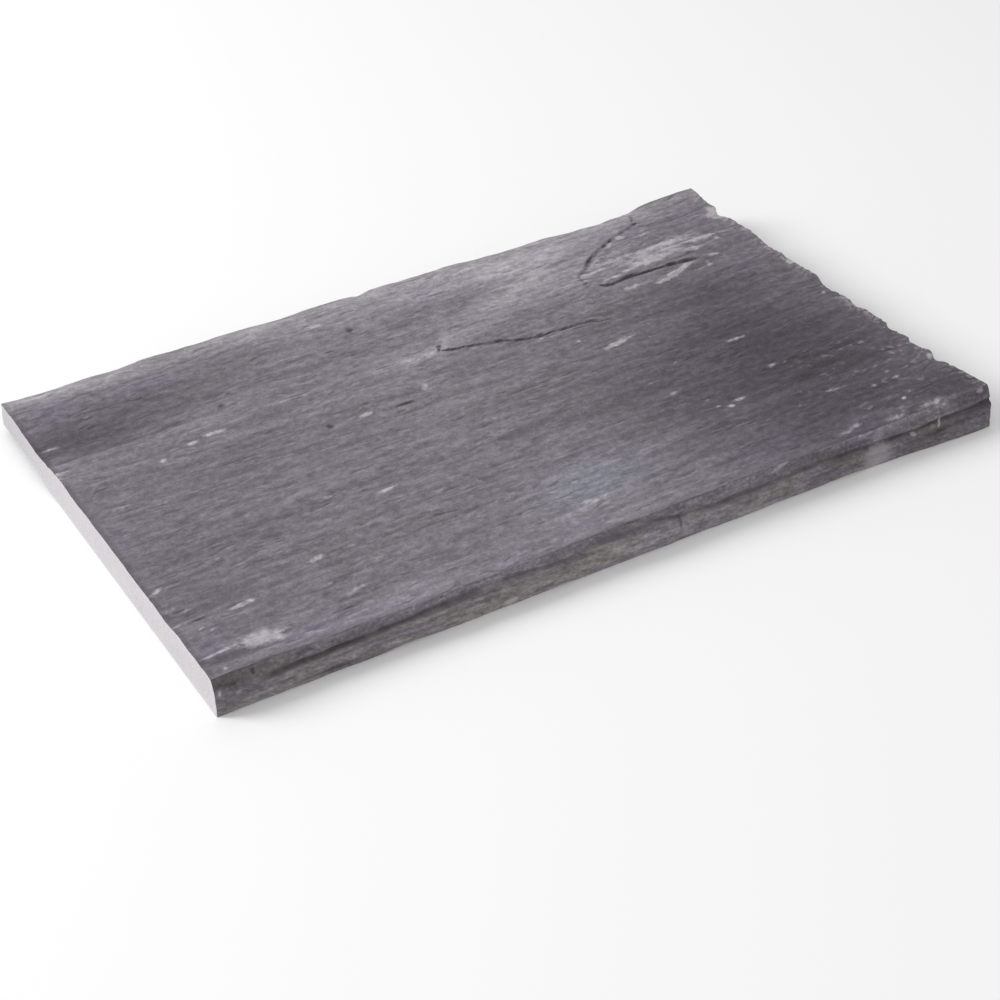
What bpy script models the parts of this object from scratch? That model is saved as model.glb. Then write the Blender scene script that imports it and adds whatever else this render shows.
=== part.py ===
# Riven slate paving slab: one piece of stone, sawn on its left side and broken on the other three.
# While it is shaped, x runs along the slab from the sawn side, y from the front edge to the back,
# and z up from the face that it lies on.
from math import exp, hypot

import bmesh
import bpy
from mathutils import Matrix, Vector, noise

MM = 0.001

# Driving dimensions
LENGTH = 500 * MM
WIDTH = 300 * MM
THICKNESS = 21 * MM  # at the front left corner
RISE_TO_RIGHT = 7.5 * MM  # the slab thickens towards its right end
RISE_TO_BACK = 0.8 * MM
CORNER_RISE = 1.2 * MM  # the front left corner stands a little higher
BACK_CROWN = 2.2 * MM  # the back edge is low at the left and full in the middle

# Cleft top face
SWELL = 0.8 * MM  # long waves of the cleavage
TERRACE = 0.45 * MM  # height of one thin lamina
RIPPLE = 0.45 * MM
HOLLOW_DEPTH = 2.2 * MM  # sunken band at the back left
HOLLOW_FRONT = 222 * MM
HOLLOW_BACK = 272 * MM
HOLLOW_REACH = 150 * MM
MARGIN = 26 * MM  # width of the shoulder that falls away to the front edge
MARGIN_DROP = 3.8 * MM

# Edges of loosened sheets on the top, seen from above, with the raised side on the left of the walk
FRONT_SHEET = [
    (247, 211), (255, 207.6), (265, 205.6), (274, 204), (283, 201.2), (289, 199.6), (293, 197), (305, 194.2),
    (311, 193), (318, 193.6), (330, 192), (338, 192.4), (345, 190.8), (351, 187.6), (362, 186),
]
BACK_SHEET = [(366, 228), (368, 240), (379, 247), (394, 258), (414, 268), (436, 277), (442, 288), (446, 302)]
FLAKE_FRONT = [(374, 224.5), (377, 221.6), (381, 220.4), (397, 222), (417, 221.3), (431, 220), (455, 215)]
LIP = [(404, 206), (420, 211), (443, 215), (465, 217)]
LUMPS = 0.9 * MM  # small ridges of the loose flakes
LUMPS_AT = (425, 240)
LUMPS_HALF = (55, 20)

# Front edge: a rough upright face, a groove along it and a band that leans back above the groove
FRONT_SETBACK = 5 * MM
GROOVE = [
    (0, 0.71), (60, 0.75), (110, 0.80), (125, 0.86), (160, 0.86), (180, 0.82), (197, 0.75), (215, 0.75),
    (224, 0.90), (252, 0.90), (264, 0.87), (280, 0.74), (303, 0.65), (340, 0.66), (375, 0.71), (430, 0.61), (500, 0.70),
]  # place along the slab, and level as a part of the thickness
GROOVE_DEPTH = 1.7 * MM
FRONT_FOOT = 4 * MM  # the foot of the right end stands out in front

# Chips out of the top of the right and back edges: centre, half width and depth
RIGHT_SETBACK = 3.4 * MM
RIGHT_FOOT = 3 * MM  # the foot of the right edge stands out past the nominal length
RIGHT_HORN = 4 * MM  # the front right corner juts out
RIGHT_CHIPS = [
    (257, 11, 4.2), (205, 15, 1.4), (143, 12, 4.0), (130, 14, 3.4),
    (115, 10, 3.4), (80, 9, 2.6), (57, 11, 3.6), (39, 8, 3.2),
]
BACK_SETBACK = 1.2 * MM
BACK_CHIPS = [
    (30, 36, 1.0), (238, 9, 1.6), (300, 50, 1.2), (352, 50, 2.8), (402, 26, 4.2), (419, 14, 1.7), (436, 28, 4.4),
]

# Underside
SPALL_RISE = 4.5 * MM  # flake lost under the back left corner
SPALL_REACH = 32 * MM

# Mesh: cuts along x, y and z before the faces are thinned out
CUTS = (200, 120, 14)
NEAR_CRACK = 5 * MM  # the grid is halved this close to the edge of a loosened sheet
FACES = 9200

COLOR = (0.155, 0.143, 0.160, 1.0)
ROUGHNESS = 0.72


def step(low, high, value):
    t = min(max((value - low) / (high - low), 0.0), 1.0)
    return t * t * (3 - 2 * t)


def waves(x, y, along, across, seed, octaves=3):
    """Noise drawn out along the grain, about -1 to 1."""
    place = Vector((x / (along * MM), y / (across * MM), seed))
    return noise.fractal(place, 1.0, 2.1, octaves)


def terraced(height, rise):
    """The same height in flat treads with short risers between them."""
    level = height / rise
    tread = level // 1
    return rise * (tread + step(0.72, 1.0, level - tread))


def beside(points, x, y):
    """Distance to a broken line, the side on which the point lies, and how far along it is, 0 to 1."""
    best = (1e9, 0.0, 0.0)
    walked = 0.0
    px, py = x / MM, y / MM
    for (ax, ay), (bx, by) in zip(points, points[1:]):
        dx, dy = bx - ax, by - ay
        run = hypot(dx, dy)
        t = min(max(((px - ax) * dx + (py - ay) * dy) / run ** 2, 0.0), 1.0)
        away = hypot(px - ax - t * dx, py - ay - t * dy)
        if away < best[0]:
            side = dx * (py - ay) - dy * (px - ax)
            best = (away, 1.0 if side > 0 else -1.0, walked + t * run)
        walked += run
    return best[0], best[1], best[2] / walked


def sheet_edge(points, x, y, rise, reach, groove):
    """Height by which the rim of a loosened sheet stands up, with the crack in front of it."""
    away, side, along = beside(points, x, y)
    if away > 4 * reach:
        return 0.0
    ends = step(0.0, 0.06, along) * step(1.0, 0.85, along)
    lifted = step(-0.9, 0.9, side * away) * exp(-max(side * away, 0.0) / reach)
    crack = groove * exp(-((side * away + 0.6) / 0.9) ** 2)
    return ends * (rise * lifted - crack)


def chips(pieces, place):
    return sum(depth * MM * (1 - ((place / MM - at) / half) ** 2) ** 2
               for at, half, depth in pieces if abs(place / MM - at) < half)


def top_height(x, y):
    u, v = x / LENGTH, y / WIDTH
    z = THICKNESS + RISE_TO_RIGHT * max(u, 0.0) ** 3 + RISE_TO_BACK * v
    z += CORNER_RISE * step(50 * MM, 0.0, x) * step(60 * MM, 0.0, y)
    z += BACK_CROWN * v ** 2 * (step(0.05, 0.5, u) - 0.5 * step(0.7, 1.0, u) - 0.5)
    z += SWELL * waves(x, y, 260, 95, 4.2, 2)
    z += terraced(1.5 * MM * waves(x, y, 230, 27, 9.1), TERRACE) - TERRACE / 2
    z += RIPPLE * waves(x, y, 70, 13, 17.3)
    fade = step(HOLLOW_REACH, 30 * MM, x)
    z -= HOLLOW_DEPTH * fade * step(HOLLOW_FRONT - 3 * MM, HOLLOW_FRONT, y) * step(HOLLOW_BACK, 240 * MM, y)
    z += sheet_edge(FRONT_SHEET, x, y, 1.0 * MM, 42, 0.9 * MM)
    z += sheet_edge(BACK_SHEET, x, y, 1.1 * MM, 46, 0.3 * MM)
    z += sheet_edge(FLAKE_FRONT, x, y, 1.2 * MM, 26, 1.1 * MM)
    away, _, along = beside(LIP, x, y)
    z += 1.1 * MM * exp(-(away / 3.2) ** 2) * step(0.0, 0.2, along) * step(1.0, 0.8, along)
    off = hypot((x / MM - LUMPS_AT[0]) / LUMPS_HALF[0], (y / MM - LUMPS_AT[1]) / LUMPS_HALF[1])
    z += LUMPS * waves(x, y, 32, 4.5, 81.0, 2) * step(1.2, 0.5, off)
    shoulder = step(MARGIN * (0.55 + 0.45 * step(0.4, 0.8, u)), 0.0, y)
    z -= MARGIN_DROP * (0.25 + 0.75 * step(0.55, 0.85, u)) * shoulder ** 1.5
    z -= 2.2 * MM * step(24 * MM, 0.0, WIDTH - y) * chips(BACK_CHIPS, x) / (5 * MM)
    return z


def bottom_height(x, y):
    spall = step(208 * MM, 250 * MM, y) * step(SPALL_REACH, 4 * MM, x)
    nick = max(waves(x, y, 24, 24, 31.7, 2) - 0.12, 0.0)
    rim = step(7 * MM, 0.0, min(y, LENGTH - x, WIDTH - y))
    return SPALL_RISE * spall + 2.5 * MM * nick * rim


def fracture(along, level, seed):
    """Broken edge: thin laminae that end a little further in or out than each other."""
    lumps = 1.1 * MM * waves(along, level * 20 * MM, 34, 9, seed)
    lamina = noise.noise(Vector((along / (19 * MM), (level * 5.0) // 1 * 3.7, seed)))
    return (0.45 + 0.55 * step(0.0, 0.3, level)) * (lumps + 0.9 * MM * lamina)


def profile(points, x):
    """Value at x of a broken line that starts at 0."""
    for (ax, start), (bx, end) in zip(points, points[1:]):
        if x / MM <= bx:
            return start + (end - start) * (x / MM - ax) / (bx - ax)
    return points[-1][1]


def front_in(x, level):
    """How far the front edge lies behind y = 0."""
    u = x / LENGTH
    groove_at = profile(GROOVE, x) + 0.02 * waves(x, 0, 60, 60, 5.5, 2)
    above = max((level - groove_at) / (1 - groove_at), 0.0)
    lean = FRONT_SETBACK * (0.75 + 0.25 * step(0.0, 0.08, u)) * (1 - 0.2 * step(0.6, 0.9, u)) * above ** 1.1
    groove = GROOVE_DEPTH * exp(-((level - groove_at) / 0.05) ** 2) * step(0.02, 0.12, u)
    foot = FRONT_FOOT * step(0.80, 1.0, u) * (1 - level)
    return lean + groove - foot + fracture(x, level, 2.0) * (1 - 0.5 * step(0.0, 0.6, above))


def right_in(y, level):
    ends = step(0, 34 * MM, y) * step(0, 44 * MM, WIDTH - y)
    top = RIGHT_SETBACK * ends + chips(RIGHT_CHIPS, y) - RIGHT_HORN * step(14 * MM, 0, y)
    return (top + RIGHT_FOOT) * step(0.25, 1.0, level) - RIGHT_FOOT + 0.8 * fracture(y, level, 12.0)


def back_in(x, level):
    top = BACK_SETBACK + chips(BACK_CHIPS, x)
    return top * step(0.1, 1.0, level) + fracture(x, level, 22.0)


def shaped(u, v, level):
    """Point of the stone for a point of the plain block, all three from 0 to 1."""
    x, y = u * LENGTH, v * WIDTH
    x -= right_in(y, level) * step(0.90, 1.0, u)
    y += front_in(u * LENGTH, level) * step(0.10, 0.0, v)
    y -= back_in(u * LENGTH, level) * step(0.90, 1.0, v)
    low, high = bottom_height(x, y), top_height(x, y)
    return Vector((x, y, low + (high - low) * level))


def near_crack(point):
    lines = (FRONT_SHEET, BACK_SHEET, FLAKE_FRONT)
    x, y = point.x * LENGTH, point.y * WIDTH
    return point.z > 0.999 and min(beside(line, x, y)[0] for line in lines) * MM < NEAR_CRACK


def slab_block():
    """Block cut into a fine grid on every face, finer still along the cracks."""
    bm = bmesh.new()
    bmesh.ops.create_cube(bm, size=1.0, matrix=Matrix.Translation((0.5, 0.5, 0.5)))
    for axis, cuts in enumerate(CUTS):
        run = [e for e in bm.edges if abs((e.verts[0].co - e.verts[1].co)[axis]) > 0.5]
        bmesh.ops.subdivide_edges(bm, edges=run, cuts=cuts, use_grid_fill=True)
    close = {vertex for vertex in bm.verts if near_crack(vertex.co)}
    fine = [e for e in bm.edges if e.verts[0] in close and e.verts[1] in close]
    bmesh.ops.subdivide_edges(bm, edges=fine, cuts=1, use_grid_fill=True)
    return bm


def stone_material():
    material = bpy.data.materials.new("riven_slate")
    material.use_nodes = True
    shader = material.node_tree.nodes["Principled BSDF"]
    shader.inputs["Base Color"].default_value = COLOR
    shader.inputs["Roughness"].default_value = ROUGHNESS
    shader.inputs["Metallic"].default_value = 0.0
    return material


def make_slab(collection):
    bm = slab_block()
    for vertex in bm.verts:
        vertex.co = shaped(*vertex.co)
    bm.normal_update()
    mesh = bpy.data.meshes.new("slate_slab")
    bm.to_mesh(mesh)
    bm.free()
    slab = bpy.data.objects.new("slate_slab", mesh)
    collection.objects.link(slab)
    thin = slab.modifiers.new("thin_out", "DECIMATE")
    thin.ratio = FACES / sum(len(face.vertices) - 2 for face in mesh.polygons)
    thin.use_collapse_triangulate = True
    bpy.context.view_layer.update()
    thinned = bpy.data.meshes.new_from_object(slab.evaluated_get(bpy.context.evaluated_depsgraph_get()))
    slab.modifiers.clear()
    slab.data = thinned
    for vertex in thinned.vertices:
        if vertex.co.z < 0.1 * MM:
            vertex.co.z = 0.0
    low = [min(v.co[axis] for v in thinned.vertices) for axis in range(3)]
    high = [max(v.co[axis] for v in thinned.vertices) for axis in range(3)]
    thinned.transform(Matrix.Translation((-(low[0] + high[0]) / 2, -(low[1] + high[1]) / 2, -low[2])))
    thinned.materials.clear()
    thinned.materials.append(stone_material())
    return slab


for old in list(bpy.data.objects):
    bpy.data.objects.remove(old)
group = bpy.data.collections.new("slate_slab")
bpy.context.scene.collection.children.link(group)
make_slab(group)
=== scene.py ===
import math

import bpy
import numpy as np
from mathutils import Euler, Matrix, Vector, noise


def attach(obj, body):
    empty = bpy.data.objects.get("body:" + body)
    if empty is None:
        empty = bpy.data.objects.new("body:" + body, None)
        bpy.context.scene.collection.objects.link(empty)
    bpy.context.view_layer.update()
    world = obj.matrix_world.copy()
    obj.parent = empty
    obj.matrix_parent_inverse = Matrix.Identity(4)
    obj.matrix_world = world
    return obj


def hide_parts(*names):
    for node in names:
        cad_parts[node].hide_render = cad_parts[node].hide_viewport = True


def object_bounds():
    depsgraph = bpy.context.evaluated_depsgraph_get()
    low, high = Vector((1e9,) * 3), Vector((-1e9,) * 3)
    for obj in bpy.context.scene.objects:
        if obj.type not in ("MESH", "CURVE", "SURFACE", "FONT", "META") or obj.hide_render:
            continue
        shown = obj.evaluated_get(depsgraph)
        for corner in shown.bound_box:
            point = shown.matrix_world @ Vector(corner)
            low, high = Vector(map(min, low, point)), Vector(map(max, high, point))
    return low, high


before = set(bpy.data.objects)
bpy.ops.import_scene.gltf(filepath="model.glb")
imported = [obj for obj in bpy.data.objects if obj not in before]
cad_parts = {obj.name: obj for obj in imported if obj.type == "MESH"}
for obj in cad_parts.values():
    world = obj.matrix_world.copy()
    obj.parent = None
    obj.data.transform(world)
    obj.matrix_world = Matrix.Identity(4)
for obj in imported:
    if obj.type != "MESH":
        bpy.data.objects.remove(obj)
cadLow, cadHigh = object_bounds()

# The slab is shaped in millimetres: x from the sawn side, y from the front edge, z from the bed
mm = 0.001

slab = {
    "length": 500.0,
    "width": 300.0,
    "thickness": 21.0,  # at the front left corner
    "riseRight": 7.5,  # how much thicker it gets to the right, mostly near the end
    "riseBack": 0.8,
    "riseCorner": 1.2,  # the front left corner stands a little higher
    "backCrown": 2.2,  # the middle of the back edge over its ends
    "swell": 0.8,
    "terrace": 0.45,
    "ripple": 0.45,
    "columns": 160,  # the grain runs along x, so the mesh is finer across it
    "rows": 360,
    "layers": 22,
    "smoothAngle": 42,
    # passes that make the mesh finer: reach from a crack, and whether small marks get it too
    "finer": [(4.0, True), (2.2, False), (1.2, False)],
}

# Waves of the stone, the last three on its broken faces: length along the grain, length across it,
# seed, octaves
stoneWaves = {
    "swell": (260, 95, 4.2, 2),
    "terrace": (230, 27, 9.1, 3),
    "ripple": (70, 13, 17.3, 3),
    "looseFlakes": (32, 4.5, 81.0, 2),
    "wander": (60, 40, 41.0, 2),
    "leaf": (40, 7.0, 23.5, 3),
    "creased": (60, 30, 71.0, 1),
    "crease": (17, 2.8, 51.0, 2),
    "fine": (11, 2.8, 63.0, 2),
    "nick": (24, 24, 31.7, 2),
    "groove": (60, 60, 5.5, 2),
    "brokenLump": (34, 9, 0.0, 3),
    "brokenRough": (9, 3.4, 3.0, 3),
    "brokenFine": (3.5, 2.2, 6.0, 3),
}

# The sunk part at the back left
hollow = {"depth": 2.2, "front": 222.0, "middle": 240.0, "back": 272.0, "full": 30.0, "reach": 150.0}
# The rounded brow along the front
shoulder = {"width": 26.0, "drop": 3.8}

# Loosened sheets of the top, walked with the raised side on the left: how far the edge stands up, how far
# back that fades, the depth of its crack, and how far the crack's dark line of painted shade is closed
frontSheet = {
    "path": [
        (247, 211), (255, 207.6), (265, 205.6), (274, 204), (283, 201.2), (289, 199.6), (293, 197),
        (305, 194.2), (311, 193), (318, 193.6), (330, 192), (338, 192.4), (345, 190.8), (351, 187.6),
        (362, 186),
    ],
    "rise": 1.0, "reach": 42, "groove": 0.6, "closed": 0.05,
}
backSheet = {
    "path": [
        (366, 228), (368, 240), (377, 246.5), (386, 253.5), (394, 259), (404, 265.5), (414, 269.5),
        (436, 278), (442, 288), (446, 302),
    ],
    "rise": 1.1, "reach": 46, "groove": 0.12, "closed": 1.5,
}
flakeFront = {
    "path": [
        (374, 224.5), (377, 221.6), (381, 220.4), (397, 222), (417, 221.3), (431, 220), (455, 215),
    ],
    "rise": 1.2, "reach": 26, "groove": 0.6, "closed": 0.1,
}
sheets = (frontSheet, backSheet, flakeFront)
lip = {"path": [(404, 206), (420, 211), (443, 215), (465, 217)], "rise": 1.1, "width": 3.2}
looseFlakes = {"at": (425, 240), "half": (55, 20), "lumps": 0.9}

# Thin flakes that stand up in front of the back sheet: centre, half sizes, turn in degrees, rise
flakes = [
    (436, 245.6, 15, 2.2, 5, 0.9), (454, 247, 4.5, 1.5, -18, 0.5), (461.6, 238.9, 11.5, 1.7, -5, 0.8),
    (473.3, 234.3, 4.5, 1.5, -76, 0.5), (427.3, 232.7, 6, 1.5, -13, 0.6), (415, 231.7, 10, 1.3, -7, 0.6),
    (373.2, 236.5, 7, 1.2, -19, 0.4), (385.6, 226.3, 6, 1.2, 5, 0.4), (452, 229.7, 4, 1.4, -19, 0.6),
    (459.3, 217.7, 5, 1.6, -10, 0.6), (434, 264, 7, 1.2, -13, 0.4), (401, 246.2, 5, 1.2, 0, 0.4),
]

frontEdge = {
    "setback": 5.0,
    "foot": 4.0,
    "grooveDepth": 1.7,
    # x, and the height of the groove as a share of the thickness
    "groove": [
        (0, 0.71), (60, 0.75), (110, 0.80), (125, 0.86), (160, 0.86), (180, 0.82), (197, 0.75), (215, 0.75),
        (224, 0.90), (252, 0.90), (264, 0.87), (280, 0.74), (303, 0.65), (340, 0.66), (375, 0.71),
        (430, 0.61), (500, 0.70),
    ],
    # x, and how dark the painted shade in the groove is
    "grooveShade": [
        (0, 0.0), (22, 0.15), (33, 0.75), (50, 1.0), (115, 0.9), (145, 1.0), (153, 0.4), (163, 0.5),
        (170, 1.0), (180, 0.9), (188, 0.3), (200, 0.5), (212, 0.2), (222, 0.3), (225, 1.0), (240, 1.0),
        (246, 0.6), (262, 0.7), (268, 1.0), (279, 0.8), (286, 0.3), (296, 0.6), (330, 0.5), (350, 0.3),
        (375, 0.5), (390, 0.9), (410, 0.7), (432, 0.9), (442, 0.6), (470, 0.7), (482, 1.0), (500, 1.0),
    ],
}
rightEdge = {
    "setback": 3.4,
    "foot": 3.0,
    "horn": 4.0,  # the front right corner juts out
    "hornReach": 14,
    "fadeFront": 34,  # towards the corners the edge is set back less
    "fadeBack": 44,
    "ragged": 0.9,
    "fine": 0.5,
    "rough": 0.8,
    # y of the middle, half width, depth
    "chips": [
        (257, 11, 4.2), (205, 15, 1.4), (143, 12, 4.0), (130, 14, 3.4), (115, 10, 3.4), (80, 9, 2.6),
        (57, 11, 3.6), (39, 8, 3.2),
    ],
}
backEdge = {
    "setback": 1.2,
    # x of the middle, half width, depth
    "chips": [
        (30, 36, 1.0), (238, 9, 1.6), (300, 50, 1.2), (352, 50, 2.8), (402, 26, 4.2), (419, 14, 1.7),
        (436, 28, 4.4),
    ],
    "fall": 2.2,  # how far the top falls at a chip 5 mm deep
    "fallReach": 24,
}
underside = {
    "spallRise": 4.5,  # the corner that has come away under the back left
    "spallReach": 32.0,
    "spallFrom": 208,
    "spallFull": 250,
    "nick": 2.5,
    "nickReach": 7,
    "flatFrom": 12.0,
    "spare": 4,  # kept round the spall when the flat middle is joined up
}
brokenFace = {"lumps": 1.1, "leaves": 0.9, "rough": 0.34, "fine": 0.16}


def step(low, high, value):
    t = min(max((value - low) / (high - low), 0.0), 1.0)
    return t * t * (3 - 2 * t)


def waves(kind, x, y, shift=0.0):
    along, across, seed, octaves = stoneWaves[kind]
    return noise.fractal(Vector((x / along, y / across, seed + shift)), 1.0, 2.1, octaves)


def terraced(height, rise):
    level = height / rise
    tread = level // 1
    return rise * (tread + step(0.72, 1.0, level - tread))


# Distance to a path, its side, 1 or -1, and the share of the path walked there
def beside(path, x, y):
    best = (1e9, 0.0, 0.0)
    walked = 0.0
    for (ax, ay), (bx, by) in zip(path, path[1:]):
        dx, dy = bx - ax, by - ay
        run = math.hypot(dx, dy)
        t = min(max(((x - ax) * dx + (y - ay) * dy) / run ** 2, 0.0), 1.0)
        away = math.hypot(x - ax - t * dx, y - ay - t * dy)
        if away < best[0]:
            left = dx * (y - ay) - dy * (x - ax) > 0
            best = (away, 1.0 if left else -1.0, walked + t * run)
        walked += run
    return best[0], best[1], best[2] / walked


# Small sideways wander of a crack
def ragged(x, y):
    coarse = 0.5 * noise.noise(Vector((x / 5.0, y / 4.0, 3.3)))
    return coarse + 0.35 * noise.noise(Vector((x / 2.2, y / 2.0, 8.1)))


def sheetEdge(sheet, x, y):
    away, side, along = beside(sheet["path"], x, y)
    if away > 4 * sheet["reach"]:
        return 0.0
    ends = step(0.0, 0.06, along) * step(1.0, 0.85, along)
    off = side * away + ragged(x, y)
    lifted = step(-0.9, 0.9, off) * math.exp(-max(off, 0.0) / sheet["reach"])
    crack = sheet["groove"] * math.exp(-((off + 0.5) / 0.6) ** 2)
    return ends * (sheet["rise"] * lifted - crack)


def lipRise(x, y):
    away, _, along = beside(lip["path"], x, y)
    return lip["rise"] * math.exp(-(away / lip["width"]) ** 2) * step(0.0, 0.2, along) * step(1.0, 0.8, along)


def looseRise(x, y):
    (middleX, middleY), (halfX, halfY) = looseFlakes["at"], looseFlakes["half"]
    off = math.hypot((x - middleX) / halfX, (y - middleY) / halfY)
    return looseFlakes["lumps"] * waves("looseFlakes", x, y) * step(1.2, 0.5, off)


# The front shoulder is narrower and lower at the left
def shoulderFall(x, y):
    u = x / slab["length"]
    width = shoulder["width"] * (0.55 + 0.45 * step(0.4, 0.8, u))
    drop = shoulder["drop"] * (0.25 + 0.75 * step(0.55, 0.85, u))
    return drop * step(width, 0.0, y) ** 1.5


def chipsAt(chips, place):
    return sum(depth * (1 - ((place - at) / half) ** 2) ** 2
               for at, half, depth in chips if abs(place - at) < half)


# Square of the distance to a mark's centre, in its own half sizes
def blot(mark, x, y):
    cx, cy, halfLong, halfWide, turn, _ = mark
    dx, dy = x - cx, y - cy
    c, s = math.cos(math.radians(turn)), math.sin(math.radians(turn))
    return ((dx * c + dy * s) / halfLong) ** 2 + ((dy * c - dx * s) / halfWide) ** 2


def topHeight(x, y):
    u, v = x / slab["length"], y / slab["width"]
    crown = step(0.05, 0.5, u) - 0.5 * step(0.7, 1.0, u) - 0.5
    z = slab["thickness"] + slab["riseRight"] * max(u, 0.0) ** 3 + slab["riseBack"] * v
    z += slab["riseCorner"] * step(50, 0, x) * step(60, 0, y)
    z += slab["backCrown"] * v ** 2 * crown
    z += slab["swell"] * waves("swell", x, y)
    z += terraced(1.5 * waves("terrace", x, y), slab["terrace"]) - slab["terrace"] / 2
    z += slab["ripple"] * waves("ripple", x, y)
    rim = step(hollow["front"] - 3, hollow["front"], y) * step(hollow["back"], hollow["middle"], y)
    z -= hollow["depth"] * step(hollow["reach"], hollow["full"], x) * rim
    for sheet in sheets:
        z += sheetEdge(sheet, x, y)
    z += lipRise(x, y)
    z += looseRise(x, y)
    z -= shoulderFall(x, y)
    nearBack = step(backEdge["fallReach"], 0, slab["width"] - y)
    z -= backEdge["fall"] * nearBack * chipsAt(backEdge["chips"], x) / 5
    return z


cleft = {"leaf": 0.12, "leafRise": 0.14, "crease": 0.20, "fine": 0.09, "wander": 2.0}


# Height of the fine leaves of the cleft face, and how deep a crease is there, 0 to 1
def cleavage(x, y):
    across = y + cleft["wander"] * waves("wander", x, y)
    leaf = terraced(cleft["leaf"] * 2 * waves("leaf", x, across), cleft["leafRise"])
    strength = 0.25 + 0.75 * step(-0.25, 0.35, waves("creased", x, y))
    crease = step(0.16, 0.44, waves("crease", x, across)) * strength
    fine = cleft["fine"] * waves("fine", x, across)
    stood = sum(mark[5] * math.exp(-blot(mark, x, y)) for mark in flakes)
    return leaf + fine + stood - cleft["crease"] * crease, crease


def bottomHeight(x, y):
    spall = step(underside["spallFrom"], underside["spallFull"], y) * step(underside["spallReach"], 4, x)
    nick = max(waves("nick", x, y) - 0.12, 0.0)
    rim = step(underside["nickReach"], 0, min(y, slab["length"] - x, slab["width"] - y))
    return underside["spallRise"] * spall + underside["nick"] * nick * rim


# Roughness of a broken face; level is 0 at the bed and 1 at the top
def fracture(along, level, seed):
    b = brokenFace
    lumps = b["lumps"] * waves("brokenLump", along, level * 20, seed)
    leaves = noise.noise(Vector((along / 19, (level * 5.0) // 1 * 3.7, seed)))
    rough = b["rough"] * waves("brokenRough", along, level * 24, seed)
    rough += b["fine"] * waves("brokenFine", along, level * 24, seed)
    return (0.45 + 0.55 * step(0.0, 0.3, level)) * (lumps + b["leaves"] * leaves) + rough


# Value at x of a broken line that starts at 0
def profile(points, x):
    for (ax, start), (bx, end) in zip(points, points[1:]):
        if x <= bx:
            return start + (end - start) * (x - ax) / (bx - ax)
    return points[-1][1]


def grooveAt(x):
    return profile(frontEdge["groove"], x) + 0.02 * waves("groove", x, 0)


def frontIn(x, level):
    u = x / slab["length"]
    at = grooveAt(x)
    above = max((level - at) / (1 - at), 0.0)
    leftEnd = 0.75 + 0.25 * step(0.0, 0.08, u)
    rightEnd = 1 - 0.2 * step(0.6, 0.9, u)
    lean = frontEdge["setback"] * leftEnd * rightEnd * above ** 1.1
    groove = frontEdge["grooveDepth"] * math.exp(-((level - at) / 0.05) ** 2) * step(0.02, 0.12, u)
    foot = frontEdge["foot"] * step(0.80, 1.0, u) * (1 - level)
    return lean + groove - foot + fracture(x, level, 2.0) * (1 - 0.5 * step(0.0, 0.6, above))


def rightIn(y, level):
    r = rightEdge
    ends = step(0, r["fadeFront"], y) * step(0, r["fadeBack"], slab["width"] - y)
    horn = r["horn"] * step(r["hornReach"], 0, y)
    torn = r["ragged"] * noise.noise(Vector((y / 5.0, level * 2, 51.0)))
    torn += r["fine"] * noise.noise(Vector((y / 2.6, level * 3, 57.0)))
    top = r["setback"] * ends + chipsAt(r["chips"], y) - horn + ends * torn
    return (top + r["foot"]) * step(0.25, 1.0, level) - r["foot"] + r["rough"] * fracture(y, level, 12.0)


def backIn(x, level):
    top = backEdge["setback"] + chipsAt(backEdge["chips"], x)
    return top * step(0.1, 1.0, level) + fracture(x, level, 22.0)


# Where a point of the unit block goes; the outer tenth of the block takes the broken edges
def shaped(u, v, level):
    x, y = u * slab["length"], v * slab["width"]
    x -= rightIn(y, level) * step(0.90, 1.0, u)
    y += frontIn(u * slab["length"], level) * step(0.10, 0.0, v)
    y -= backIn(u * slab["length"], level) * step(0.90, 1.0, v)
    low, high = bottomHeight(x, y), topHeight(x, y)
    if level > 0.999:
        high += cleavage(x, y)[0]
    return Vector((x, y, low + (high - low) * level))
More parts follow.
